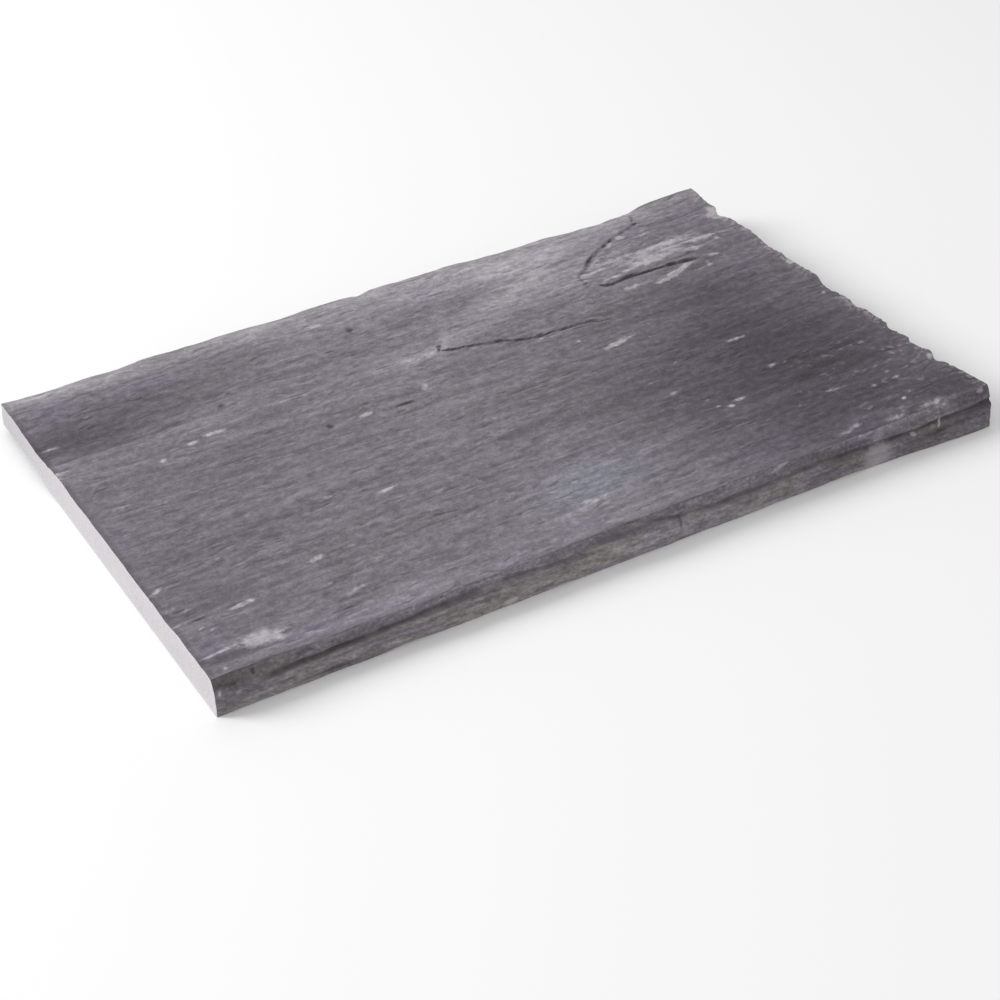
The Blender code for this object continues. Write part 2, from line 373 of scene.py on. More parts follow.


# Paler and darker ground of the top, partly the stone's own tone and partly painted light, as in the pale
# band along the back and the dark right front: centre, half sizes, turn in degrees, strength
grounds = [
    (200, 300, 330, 12, 0, 0.54), (25, 298, 60, 10, 0, 0.18), (350, 280, 100, 14, 0, 0.34),
    (330, 250, 58, 36, 10, 0.42), (430, 241, 46, 16, 0, 0.34), (240, 212, 34, 9, 0, 0.30),
    (20, 237, 62, 13, 0, -0.50), (30, 252, 80, 18, 0, -0.34), (110, 264, 60, 20, 0, -0.16),
    (40, 100, 80, 62, 0, -0.16), (430, 90, 85, 75, 0, -1.02), (400, 20, 70, 28, 0, -0.38),
    (330, 100, 45, 60, 0, -0.20), (430, 178, 60, 26, 0, -0.36), (484, 15, 30, 16, 0, -0.30),
    (475, 245, 30, 60, 0, -0.10), (150, 6, 170, 9, 0, 0.18), (250, 46, 52, 20, 0, 0.18),
    (90, 165, 90, 20, 0, -0.10), (13, 14, 17, 9, 0, -0.42), (118, 15, 22, 7, 0, 0.14),
    (160, 80, 55, 26, 0, -0.08), (412, 13, 20, 6, 0, 0.35), (447, 7, 20, 4, 0, 0.35),
    (482, 12, 18, 10, 0, -0.20), (437, 255, 26, 4, 0, -0.22), (410, 199, 13, 4, 0, -0.20),
    (330, 135, 90, 26, 0, -0.16), (425, 138, 30, 18, 0, -0.10), (215, 277, 80, 11, 0, 0.24),
    (160, 292, 90, 9, 0, 0.12), (25, 294, 24, 7, 0, 0.12), (245, 220, 42, 9, 0, 0.13),
    (395, 196, 60, 14, 0, -0.11), (380, 48, 70, 14, 0, -0.11), (430, 76, 24, 14, 0, -0.10),
    (250, 26, 42, 9, 0, 0.10), (480, 220, 22, 12, 0, -0.12), (478, 24, 22, 5, 0, -0.14),
    (345, 258, 44, 14, 22, 0.06), (35, 20, 14, 7, 0, 0.14), (17, 12, 13, 4, 0, -0.14),
    (20, 76, 28, 14, 0, -0.07), (290, 253, 28, 9, 8, -0.18), (316, 244, 60, 8, 27, 0.13),
    (340, 218, 40, 7, 8, -0.14), (375, 166, 32, 13, 0, 0.13), (275, 140, 30, 24, 0, -0.10),
    (276, 221, 22, 7, 0, 0.10), (450, 259, 40, 6, 0, -0.10), (458, 8, 36, 6, 0, -0.22),
    (462, 290, 36, 8, 0, 0.12), (24, 277, 26, 8, 0, -0.12),
]

# Lilac bloom, laid out the same way as all the marks below
blooms = [
    (22, 276, 16, 18, 0, 0.9), (84, 272, 26, 6, 0, 0.9), (9, 126, 7, 16, 0, 0.7), (12, 24, 14, 12, 0, 0.9),
    (55, 9, 24, 7, 0, 0.8), (104, 9, 30, 7, 0, 0.6), (178, 9, 18, 6, 0, 0.8), (224, 12, 20, 7, 0, 0.7),
    (352, 16, 34, 16, 0, 0.8), (412, 5, 18, 7, 0, 0.9), (480, 34, 12, 8, 0, 0.7),
    (468, 196, 18, 14, 0, 0.7), (482, 152, 8, 6, 0, 0.7), (372, 285, 26, 9, 0, 0.35),
    (478, 272, 14, 10, 0, 0.7), (427, 268, 10, 6, 0, 0.6), (257, 74, 9, 7, 0, 0.6),
    (356, 268, 12, 8, 0, 0.4), (500, 235, 14, 14, 0, 0.5),
]

# White scuffs and thin pale streaks, partly real dust and partly painted highlight on the raised lip, the
# standing flakes and beside cracks
scuffsAndHighlights = [
    (35.8, 18.8, 12, 6, -10, 1.1), (14.5, 19.4, 13, 1.2, 9, 0.75), (33, 24, 9, 1.4, 14, 0.75),
    (39.7, 50.1, 7.5, 1.6, 8, 0.75), (4.4, 50.6, 5, 1.1, 0, 0.5), (13.4, 41.6, 1.8, 1.2, 0, 0.9),
    (17.6, 38.6, 1.5, 1, 0, 0.5), (10.3, 3.5, 2.5, 1, 0, 0.6), (5.4, 82.8, 5.5, 1.5, 30, 0.55),
    (11.5, 60.6, 8, 1, 0, 0.45), (4.5, 64.8, 4, 1.2, 0, 0.5), (89.5, 64.5, 5, 1.6, 10, 0.75),
    (109.4, 65.7, 3, 1.3, 0, 0.5), (59.8, 63.5, 5, 1.2, 0, 0.4), (85.9, 42.5, 1.4, 1, 0, 0.7),
    (96.1, 31.3, 6.5, 1.5, 15, 0.65), (118.5, 48.8, 5, 4, 0, 0.35), (44.5, 92, 1.4, 1, 0, 0.5),
    (57.3, 92.6, 1.6, 1.2, 0, 0.6), (150.8, 99.2, 5.5, 1.4, 8, 0.85), (136.4, 109.6, 4, 1.4, 0, 0.5),
    (119.9, 110.7, 4, 1.3, 0, 0.45), (94.5, 202.8, 7, 1.8, 2, 0.95), (79, 199.5, 2.4, 1.5, 10, 0.95),
    (57.5, 191.6, 1.9, 1.6, 0, 0.95), (140.3, 184.8, 2.2, 1.7, 0, 0.5), (21.2, 161.6, 6.5, 1.4, 0, 0.6),
    (43.1, 153.8, 1.8, 1.6, 0, 0.4), (178.1, 174, 4.6, 1.5, 0, 0.8), (221.5, 181.6, 2.4, 2, 35, 0.85),
    (184.9, 205.8, 1.3, 1.3, 0, 0.4), (149, 211.1, 12, 1, 0, 0.65), (155.5, 210.8, 3, 1.2, 0, 0.8),
    (120.1, 223.5, 5, 1.7, 0, 0.42), (36.8, 259.9, 3.5, 1.3, 0, 0.45), (8.5, 240.6, 7, 1.3, 0, 0.5),
    (3.5, 210.8, 4, 1.4, 0, 1.1), (1.3, 204.8, 1.5, 5, 0, 1), (197.8, 278.5, 3.2, 2.4, 0, 0.75),
    (194.9, 286.1, 5, 4, 0, 0.3), (234.8, 209.8, 13, 2, 5, 0.65), (243.3, 210.8, 3.5, 1.4, 10, 0.8),
    (266.9, 202.1, 5, 1.4, -10, 0.4), (309.7, 190.3, 3, 1.2, 0, 0.45), (326.1, 175.1, 1.6, 1.8, 0, 0.5),
    (300.1, 186.6, 1.3, 1.2, 0, 0.4), (239.5, 31.2, 4.5, 2.8, -10, 0.65), (248, 30.9, 8, 2.2, 5, 0.5),
    (251.2, 65, 2.5, 1.2, 0, 0.5), (244.2, 51.7, 2.5, 1.3, 0, 0.5), (225.6, 49.1, 4, 1, 8, 0.35),
    (206.6, 60, 6, 1.2, 0, 0.35), (193.1, 58.9, 2.5, 1.5, 0, 0.35), (238.1, 9.4, 3, 1.2, 0, 0.35),
    (190.4, 8.8, 14, 2.5, 3, 0.3), (372, 71.1, 4.5, 1.6, 0, 0.65), (363.2, 67.5, 2.5, 1.6, -20, 0.6),
    (356.7, 71.6, 2.5, 1.3, 0, 0.5), (394.9, 43.9, 2.6, 0.8, 45, 0.45), (424.3, 47, 7.5, 1.4, -3, 0.45),
    (461.3, 43.8, 1.8, 1.6, 0, 0.57), (443.8, 37.2, 5.8, 1.5, 5, 0.45), (453.8, 38.1, 3.4, 1.8, 0, 0.49),
    (462.6, 37.1, 3, 1.4, 0, 0.61), (431.6, 34.9, 2.3, 1.4, 0, 0.37), (490.6, 46.9, 2.5, 1.3, 20, 0.66),
    (482.2, 44.2, 3.4, 1.3, 0, 0.41), (497.8, 43.4, 2.3, 2.5, 0, 0.74), (450.6, 14.6, 1.8, 1.2, 45, 1.1),
    (456.5, 21.4, 2.3, 0.8, 50, 0.37), (426.6, 18.1, 4, 1.6, 10, 0.41), (401.7, 5.3, 10.3, 1.4, 5, 0.41),
    (479.1, 21.8, 16.1, 1, 3, 0.25), (407.6, 123.2, 6, 1.3, -6, 0.95), (409.6, 88.5, 3.7, 1.7, 0, 0.61),
    (418.3, 87.2, 3.4, 1.3, 0, 0.45), (472.5, 79.7, 4.5, 1.2, 5, 0.5), (435.7, 90.5, 2.9, 1.2, 0, 0.41),
    (439.6, 85.3, 5.8, 0.8, 0, 0.33), (391.8, 90.5, 2.9, 0.8, 45, 0.33), (373.7, 131, 3, 1.5, 0, 0.35),
    (361.4, 122.3, 2.5, 1.3, 0, 0.4), (336.7, 112.2, 3, 1.2, 0, 0.35), (341.6, 95.9, 7, 1.5, 5, 0.35),
    (356.2, 79.9, 5, 1, 0, 0.35), (494.4, 137.6, 1.5, 2, 0, 0.6), (496.8, 116.4, 2.3, 3, 0, 0.41),
    (490, 102.2, 4.6, 2.5, 0, 0.25), (345.3, 160.7, 12, 1.8, 9, 1.1), (471.3, 168.1, 2.5, 1.3, 0, 0.35),
    (367.3, 155.7, 3, 1.2, 0, 0.4), (359.1, 148.5, 1.6, 1.4, 0, 0.45), (498.5, 181.4, 3, 3, 0, 1),
    (458.7, 177.3, 2, 0.8, 45, 0.4), (500, 258.2, 2.4, 8, 0, 1), (499.2, 174.9, 2, 8, 0, 0.5),
    (437.1, 245.6, 25, 3, 0, 0.8), (398, 246.5, 28, 3.6, 0, 0.46), (378, 239.8, 12, 2, 0, 0.72),
    (418, 231.4, 15, 3.6, 0, 1.1), (400.5, 228.8, 8, 1.8, 8, 0.8), (461.5, 238, 13, 2, 0, 1.1),
    (473.9, 231.5, 1.8, 3, 0, 0.75), (450.6, 229, 5.5, 2.2, 0, 1), (386, 225.8, 7, 1.3, 4, 0.8),
    (388.5, 250.8, 6, 1.3, 22, 0.7), (392, 211.8, 13, 1.4, 0, 0.7), (411.6, 206.9, 5, 1.6, 0, 1.05),
    (429.8, 212.2, 14, 2.1, 17, 1), (459, 216.5, 6, 2.2, 0, 0.65), (450, 209, 1.2, 3, 0, 0.5),
    (464.2, 211.8, 2, 2, 0, 0.5), (419.5, 269.1, 4, 2.4, 0, 0.8), (433, 263.4, 9, 1.5, 0, 0.5),
    (408.5, 263.6, 5, 1.2, 30, 0.65), (413, 8, 9, 1.6, 3, 0.42), (437, 3, 9, 2.4, 0, 0.55),
    (466, 2.2, 14, 2.2, 0, 0.6), (496.5, 261, 5, 8, 0, 1),
]

# Small pits and short dark lines: painted shade in pits, cracks and under small ledges
darkMarks = [
    (153.8, 173.6, 2.2, 2.4, 20, 1.15), (202.6, 171.6, 7, 1.5, -5, 1.1), (212.8, 262.5, 2.6, 3.2, 0, 0.85),
    (205.5, 253.5, 2.4, 2.4, 0, 0.75), (108.7, 226.9, 2.5, 2.3, 0, 0.9), (119.9, 237.3, 2.2, 2.2, 0, 0.6),
    (190.2, 244.8, 4.5, 1.3, 0, 0.8), (285.1, 288.9, 1.4, 5, 0, 0.55), (266.5, 262.3, 3, 2.2, 0, 0.5),
    (14.5, 50.3, 5, 0.9, 3, 0.9), (92.2, 26.1, 1.5, 1.3, 0, 0.5), (99.7, 76.5, 1.8, 1.5, 0, 0.6),
    (109.5, 76.9, 3, 1.2, 0, 0.5), (123, 104.7, 8, 1.2, 0, 0.5), (152.3, 129.8, 7, 1.1, 0, 0.5),
    (127.2, 127.2, 9, 1.2, 4, 0.35), (99.3, 131.9, 8, 1, 0, 0.4), (54.7, 126.1, 3, 1.3, 0, 0.4),
    (51.9, 91.6, 6, 0.9, 0, 0.45), (165, 80.1, 10, 1, -5, 0.5), (139.4, 105.4, 4, 1.3, 0, 0.45),
    (89.6, 170, 15, 1.5, 3, 0.5), (120.5, 173.2, 12, 1.2, 3, 0.4), (4.4, 163, 5, 1.6, 0, 0.45),
    (14.3, 153.9, 14, 1, 0, 0.4), (40.9, 144.3, 10, 1.2, 0, 0.4), (108.6, 143.3, 10, 1.3, 2, 0.35),
    (89.7, 181.7, 2, 1.5, 0, 0.4), (31.2, 211.7, 9, 1.1, 3, 0.5), (46.5, 266.8, 10, 1.2, 0, 0.45),
    (62.2, 268.9, 6, 2, 0, 0.45), (133.2, 268.5, 8, 1.6, 0, 0.5), (89.8, 273.2, 11, 1.5, 0, 0.3),
    (188.7, 275.1, 11, 1, 0, 0.5), (236.9, 276, 16, 1.3, 0, 0.4), (218.9, 249.7, 8, 1, 3, 0.4),
    (293.5, 266.8, 18, 1.5, 0, 0.35), (170.4, 225.8, 3, 1.3, 0, 0.5), (307, 210.7, 5, 1.6, 5, 0.45),
    (323.6, 226.5, 3, 3, 0, 0.4), (315.7, 236.7, 1.6, 2, 0, 0.4), (273.6, 213, 3, 1, 50, 0.4),
    (206.2, 215.3, 8, 0.9, 0, 0.4), (228.7, 214.7, 13, 0.9, 3, 0.45), (179.3, 170.9, 5, 1, 0, 0.45),
    (231.3, 204.5, 4, 1, 50, 0.4), (252.5, 191, 6, 1.5, -20, 0.35), (283.5, 170, 4, 1, 0, 0.4),
    (264.5, 146.9, 18, 1.4, -2, 0.35), (287.5, 153.8, 7, 1.2, 0, 0.4), (186.2, 134.8, 6, 1.2, 0, 0.4),
    (209.5, 140.4, 12, 1, 0, 0.4), (263.6, 140.1, 13, 1, 0, 0.45), (252.4, 135.2, 2, 2, 0, 0.45),
    (310.2, 133, 7, 1.4, 0, 0.45), (208.4, 108.4, 9, 1.3, 5, 0.45), (222.7, 116.4, 3.5, 1.5, 0, 0.4),
    (245.1, 118.9, 4, 1, 35, 0.4), (278.1, 116.2, 3, 1.3, 0, 0.4), (324.7, 81.7, 3, 1.5, 0, 0.4),
    (193.1, 42.8, 5, 1.2, 0, 0.5), (183.6, 32.2, 1.5, 1.2, 0, 0.5), (193, 30.9, 4, 1, 0, 0.35),
    (238.9, 50.2, 4, 1.3, 0, 0.4), (198.3, 2.7, 6, 1.5, 0, 0.45), (275, 14.5, 2.5, 1.2, 0, 0.4),
    (352.4, 69.5, 5, 1.3, -20, 0.65), (420.2, 43.5, 6, 1, 0, 0.45), (434.9, 32.3, 4, 2.2, 0, 0.5),
    (444.9, 41, 7, 0.9, 0, 0.5), (480.6, 42.2, 3, 2.2, 0, 0.5), (449.7, 11.7, 4, 2.4, 0, 0.4),
    (429.2, 13.9, 4, 2, 0, 0.4), (390.3, 7, 3, 1, 0, 0.6), (473.6, 18, 16, 1.8, 0, 0.4),
    (407.5, 85, 4, 1.6, 0, 0.5), (440, 83.8, 3, 1.2, 0, 0.55), (336.3, 109.1, 6, 1, 0, 0.45),
    (359.8, 95.9, 8, 1, 5, 0.35), (428.2, 185.7, 6, 0.9, 0, 0.4), (461.6, 184.3, 10, 0.9, 3, 0.4),
    (380.8, 151.9, 4, 1.5, 0, 0.5), (385.3, 173.5, 4, 1.5, -10, 0.45), (385.4, 253.5, 7.5, 0.9, 36, 1),
    (404.9, 264.6, 3, 1.2, 30, 0.9), (411.5, 268.1, 3, 1, 30, 0.8), (438.9, 280.3, 3.3, 1.4, 55, 1.3),
    (442, 291, 4.5, 0.9, 72, 0.9), (376.9, 242.9, 3, 1.4, 0, 0.6), (388.4, 242.7, 5, 1.1, 0, 0.5),
    (367.7, 230.1, 3, 1.5, 20, 0.6), (375.3, 223, 2.6, 1, -50, 1), (406.2, 221.3, 13, 1.1, 0, 0.75),
    (428, 220.5, 5, 1.8, -10, 0.8), (438, 219, 5, 1.4, -8, 0.9), (436, 224.6, 12, 1, -3, 0.6),
    (397, 222.8, 9, 1.5, 3, 0.8), (424, 218.6, 4, 0.9, 0, 0.5), (441.9, 218.2, 5, 2.2, -5, 0.6),
    (400.8, 226.2, 5, 0.7, 8, 0.6), (446, 225.7, 3, 1.4, -15, 0.85), (475.9, 223.2, 6, 1, 0, 0.6),
    (249.4, 213.6, 4.4, 0.8, 62, 1.5), (285.1, 201, 4, 1.3, -15, 0.8), (290.2, 198.6, 3, 0.9, -40, 0.7),
    (310.4, 193.9, 3, 1.3, 0, 0.7), (290.9, 201.6, 5, 0.8, -5, 0.6), (346.7, 190.5, 6, 0.9, -22, 0.6),
]

# Marks on the front edge, by x and height, dark ones below 0 and painted as the shade of thin cracks and pits
frontMarks = [
    (419.5, 6.0, 8.5, 8.5, 0, 0.58), (420, 18.6, 4.0, 2.2, 0, 0.35), (170, 2.3, 4.0, 1.6, 10, 1.2),
    (47.4, 5.8, 2.2, 2.8, 0, 0.32), (128, 6.0, 3.0, 1.4, 0, 0.3), (279.3, 11, 0.7, 4.6, 8, -0.55),
    (283.4, 5.0, 1.8, 3.0, 20, 0.28), (2.8, 13.5, 1.0, 1.6, 0, 0.95), (13, 10.5, 1.6, 1.2, 30, 0.5),
    (22, 18.5, 1.3, 1.2, 0, -0.8), (464.8, 14.2, 0.6, 2.9, -40, 1.0), (445, 12.3, 1.9, 1.2, -20, 0.75),
    (459.5, 13, 1.8, 1.0, 0, 0.3), (497.5, 23.5, 2.2, 1.4, 0, 0.7), (150, 21.3, 32, 0.7, 1.5, -0.5),
    (198, 22.8, 4.0, 0.9, 0, -0.6), (280, 23.6, 10, 0.8, 2, -0.4), (355, 22.8, 11, 0.9, 13, 0.7),
    (9, 16, 3.5, 1.6, 0, -0.45), (31, 14.5, 3.2, 1.2, 0, -0.4), (50, 17.5, 5, 1.0, 8, -0.45),
    (62, 12, 2.2, 2.0, 0, -0.3),
]

# Paler and darker parts of the front edge, by x and height
edgeGrounds = [
    (8, 17, 14, 6, 0, -0.48), (8, 5, 16, 7, 0, -0.15), (3, 4, 8, 5, 0, -0.45), (75, 16, 13, 2.2, 0, -0.42),
    (35, 14.5, 8, 2, 0, -0.28), (180, 16.5, 12, 2.5, 0, 0.34), (262, 9, 32, 6, 0, 0.20),
    (325, 20, 30, 6, 0, 0.38), (333, 9, 16, 4, 0, -0.20), (380, 23, 25, 2.4, 0, 0.35),
    (393, 8, 24, 7, 0, -0.40), (412, 20, 13, 5, 0, 0.35), (430, 22.5, 40, 3.5, 0, 0.50),
    (447, 18, 26, 4, 0, 0.40), (475, 18, 14, 4, 0, 0.20), (66, 2, 22, 2, 0, -0.32),
    (110, 22, 12, 1.4, 0, -0.2), (160, 22.5, 16, 1.4, 0, -0.2), (485, 16, 14, 5, 0, 0.14),
    (492, 5, 12, 4, 0, 0.15), (450, 13, 12, 2, 0, 0.30), (235, 12, 10, 3, 0, 0.15),
    (425, 25, 34, 3.5, 0, 0.24), (430, 24.5, 34, 2.5, 0, 0.16), (462, 9.5, 8, 3, 0, -0.36),
    (388, 11, 9, 2.5, 0, -0.24), (80, 1.5, 70, 2.5, 0, -0.16), (357, 1.5, 10, 3, 0, -0.25),
]

# Pale blue haze
paleBlue = [
    (253, 46, 48, 20, 0, 1.0), (275, 278, 18, 15, 0, 0.5), (330, 154, 18, 10, 0, 0.6),
]

# Marks too narrow for the plain mesh
smallMarks = [mark for mark in scuffsAndHighlights + darkMarks if mark[3] < 2.2]


def softened(marks, x, y):
    return sum(mark[5] * np.exp(-blot(mark, x, y)) for mark in marks)


def strongest(marks, x, y):
    return np.max([mark[5] * np.exp(-0.9 * blot(mark, x, y)) for mark in marks], axis=0)


def deselectMesh(kind):
    bpy.ops.object.mode_set(mode="EDIT")
    bpy.ops.mesh.select_mode(type=kind)
    bpy.ops.mesh.select_all(action="DESELECT")
    bpy.ops.object.mode_set(mode="OBJECT")


def inEditMode(operator, **settings):
    bpy.ops.object.mode_set(mode="EDIT")
    operator(**settings)
    bpy.ops.object.mode_set(mode="OBJECT")


# Cuts the unit block along each axis, through the edges that still span it
def cutBlock(piece):
    mesh = piece.data
    for axis, pieces in enumerate((slab["columns"], slab["rows"], slab["layers"])):
        deselectMesh("EDGE")
        for edge in mesh.edges:
            a, b = (mesh.vertices[i].co for i in edge.vertices)
            edge.select = abs(a[axis] - b[axis]) > 0.5
        inEditMode(bpy.ops.mesh.subdivide, number_cuts=pieces - 1)


# How far a point of the top is from the nearest crack, a little more near the crack's ends
def crackAway(x, y):
    nearest = 1e9
    for sheet in sheets:
        away, side, along = beside(sheet["path"], x, y)
        ends = 1 - step(0.0, 0.03, along) * step(1.0, 0.88, along)
        nearest = min(nearest, abs(side * away + ragged(x, y)) + sheet["closed"] + ends)
    return nearest


def nearSmallMark(x, y):
    return any(abs(x - mark[0]) < mark[2] + 2.5 and abs(y - mark[1]) < mark[3] + 2 for mark in smallMarks)


# Halves the faces of the top that lie within a reach of a crack, and if wanted those around small marks
# and along the right edge
def cutFiner(piece, reach, marksToo):
    deselectMesh("FACE")
    for face in piece.data.polygons:
        u, v, level = face.center
        x, y = u * slab["length"], v * slab["width"]
        near = level > 0.999 and (crackAway(x, y) < reach or (marksToo and nearSmallMark(x, y)))
        face.select = near or (marksToo and u > 0.985 and level > 0.001)
    inEditMode(bpy.ops.mesh.subdivide, number_cuts=1)


# Makes the flat middle of the bed one face again
def joinUnderside(piece):
    deselectMesh("FACE")
    edge, spare = underside["flatFrom"], underside["spare"]
    for face in piece.data.polygons:
        x, y = face.center.x * slab["length"], face.center.y * slab["width"]
        inside = edge < x < slab["length"] - edge and edge < y < slab["width"] - edge
        spalled = x < underside["spallReach"] + spare and y > underside["spallFrom"] - spare
        face.select = face.center.z < 0.001 and inside and not spalled
    inEditMode(bpy.ops.mesh.dissolve_faces, use_verts=True)


# Every point moved to the middle of its neighbours, a number of times
def relaxed(points, edges, rounds):
    count = np.bincount(edges.ravel(), minlength=len(points))[:, None]
    for _ in range(rounds):
        total = np.zeros_like(points)
        np.add.at(total, edges[:, 0], points[edges[:, 1]])
        np.add.at(total, edges[:, 1], points[edges[:, 0]])
        points = total / count
    return points


def keepFloats(mesh, name, values, domain="POINT"):
    attribute = mesh.attributes.new(name, "FLOAT", domain)
    attribute.data.foreach_set("value", np.asarray(values, dtype=np.float32))


# Stores what the stone's colour depends on: hollows and crests, ground tone, marks, cracks and creases, from
# which the material paints shade and highlights
def paintSlab(piece, block):
    mesh = piece.data
    points = np.array([tuple(v.co) for v in mesh.vertices]) / mm
    normals = np.array([tuple(v.normal) for v in mesh.vertices])
    edges = np.array([tuple(e.vertices) for e in mesh.edges])
    for name, rounds in (("nearHollow", 2), ("wideHollow", 16)):
        keepFloats(mesh, name, ((relaxed(points, edges, rounds) - points) * normals).sum(1))

    u, v, level = block.T
    x, y = u * slab["length"], v * slab["width"]
    for name, marks in (("tone", grounds), ("bloom", blooms), ("haze", paleBlue)):
        keepFloats(mesh, name, softened(marks, x, y))
    for name, marks in (("scuffAndHighlight", scuffsAndHighlights), ("darkMark", darkMarks)):
        keepFloats(mesh, name, strongest(marks, x, y))
    height = points[:, 2] - points[:, 2].min()
    onFront = v < 0.001
    keepFloats(mesh, "edgeTone", softened(edgeGrounds, x, height) * onFront)

    top = level > 0.999
    keepFloats(mesh, "crease", [cleavage(*at)[1] if onTop else 0.0 for onTop, *at in zip(top, x, y)])
    keepFloats(mesh, "crack", [crackAway(*at) for at in zip(x, y)])
    keepFloats(mesh, "level", level)
    nearRight = np.clip((u - 0.985) / 0.012, 0, 1)
    keepFloats(mesh, "rim", nearRight * np.clip((level - 0.6) / 0.4, 0, 1))
    keepFloats(mesh, "aboveGroove", [share - grooveAt(place) for place, share in zip(x, level)])
    keepFloats(mesh, "grooveShade", [profile(frontEdge["grooveShade"], place) for place in x])


# Says of each face whether it is sawn side, broken edge or bed
def markFaces(piece, block):
    mesh = piece.data
    u, _, level = np.array([block[list(p.vertices)].mean(axis=0) for p in mesh.polygons]).T
    side = (level > 0.0005) & (level < 0.9995)
    sawn = side & (u < 0.0005)
    keepFloats(mesh, "sawn", sawn, "FACE")
    keepFloats(mesh, "broken", side & ~sawn, "FACE")
    keepFloats(mesh, "bed", level < 0.0005, "FACE")


def makeSlab():
    bpy.ops.object.select_all(action="DESELECT")
    bpy.ops.mesh.primitive_cube_add(size=1, location=(0.5, 0.5, 0.5))
    piece = bpy.context.object
    piece.name = "rivenSlate"
    bpy.ops.object.transform_apply(location=True, rotation=True, scale=True)
    cutBlock(piece)
    for reach, marksToo in slab["finer"]:
        cutFiner(piece, reach, marksToo)
    joinUnderside(piece)

    mesh = piece.data
    block = np.array([tuple(v.co) for v in mesh.vertices])
    for vertex in mesh.vertices:
        vertex.co = shaped(*vertex.co) * mm
    # set over the middle of the rigid slab, with the bed at its foot
    points = np.array([tuple(v.co) for v in mesh.vertices])
    middle = (points.min(axis=0) + points.max(axis=0)) / 2
    cadMiddle = (cadLow + cadHigh) / 2
    shift = Vector((cadMiddle.x - middle[0], cadMiddle.y - middle[1], cadLow.z))
    for vertex in mesh.vertices:
        vertex.co += shift
    mesh.update()
    paintSlab(piece, block)
    markFaces(piece, block)
    bpy.ops.object.shade_smooth_by_angle(angle=math.radians(slab["smoothAngle"]))
    triangles = sum(len(p.vertices) - 2 for p in mesh.polygons)
    print("slab:", len(mesh.vertices), "vertices,", triangles, "triangles")
    return piece, shift


def feed(slot, value):
    if isinstance(value, Wire):
        slot.id_data.links.new(value.socket, slot)
    else:
        slot.default_value = value


# Adds a node, makes its settings and then fills its sockets, and hands on one of its outputs
def addNode(tree, kind, settings, inputs, output=0):
    node = tree.nodes.new("ShaderNode" + kind)
    for key, value in settings.items():
        setattr(node, key, value)
    for key, value in inputs.items():
        feed(node.inputs[key], value)
    return Wire(node.outputs[output])


# A node socket that can be used in sums
class Wire:
    def __init__(self, socket):
        self.socket = socket

    def maths(self, operation, *values):
        return addNode(self.socket.id_data, "Math", {"operation": operation}, dict(enumerate(values)))

    def __add__(self, other):
        return self.maths("ADD", self, other)

    def __sub__(self, other):
        return self.maths("SUBTRACT", self, other)

    def __rsub__(self, other):
        return self.maths("SUBTRACT", other, self)

    def __mul__(self, other):
        return self.maths("MULTIPLY", self, other)

    __radd__ = __add__
    __rmul__ = __mul__

    def exp(self):
        return self.maths("EXPONENT", self)

    def most(self, other):
        return self.maths("MAXIMUM", self, other)

    # 0 below low, 1 above high, smooth between
    def ramp(self, low, high):
        return addNode(self.socket.id_data, "MapRange", {"interpolation_type": "SMOOTHSTEP"},
                       {"Value": self, "From Min": low, "From Max": high}, "Result")


# A material and the ways its nodes are added
class Finish:
    def __init__(self, name, roughness, specular):
        self.material = bpy.data.materials.new(name)
        self.material.use_nodes = True
        self.tree = self.material.node_tree
        self.inputs = self.tree.nodes["Principled BSDF"].inputs
        self.inputs["Roughness"].default_value = roughness
        self.inputs["Specular IOR Level"].default_value = specular

    def node(self, kind, settings, inputs, output=0):
        return addNode(self.tree, kind, settings, inputs, output)

    def painted(self, name):
        return self.node("Attribute", {"attribute_name": name}, {}, "Fac")

    def mix(self, factor, first, second):
        return self.node("Mix", {"data_type": "RGBA", "clamp_factor": True},
                         {"Factor": factor, 6: first, 7: second}, 2)

    def scaled(self, colour, value):
        return self.node("VectorMath", {"operation": "SCALE"}, {0: colour, "Scale": value})

    # One of the stone's noises about 0, drawn out to its size each way
    def grain(self, name, place):
        size, detail, rough, seed = slateGrains[name]
        scale = tuple(1 / s for s in size)
        drawn = self.node("Mapping", {"vector_type": "POINT"},
                          {"Vector": place, "Scale": scale, "Location": (seed, seed, 0)})
        value = self.node("TexNoise", {},
                          {"Vector": drawn, "Scale": 1.0, "Detail": detail, "Roughness": rough})
        return value - 0.5


# Square of the distance to the middle of an oval, in its half sizes
def inOval(along, across, middle, half, turn=0.0):
    c, s = math.cos(math.radians(turn)), math.sin(math.radians(turn))
    dx, dy = along - middle[0], across - middle[1]
    first = dx * (c / half[0]) + dy * (s / half[0])
    second = dy * (c / half[1]) - dx * (s / half[1])
    return first * first + second * second


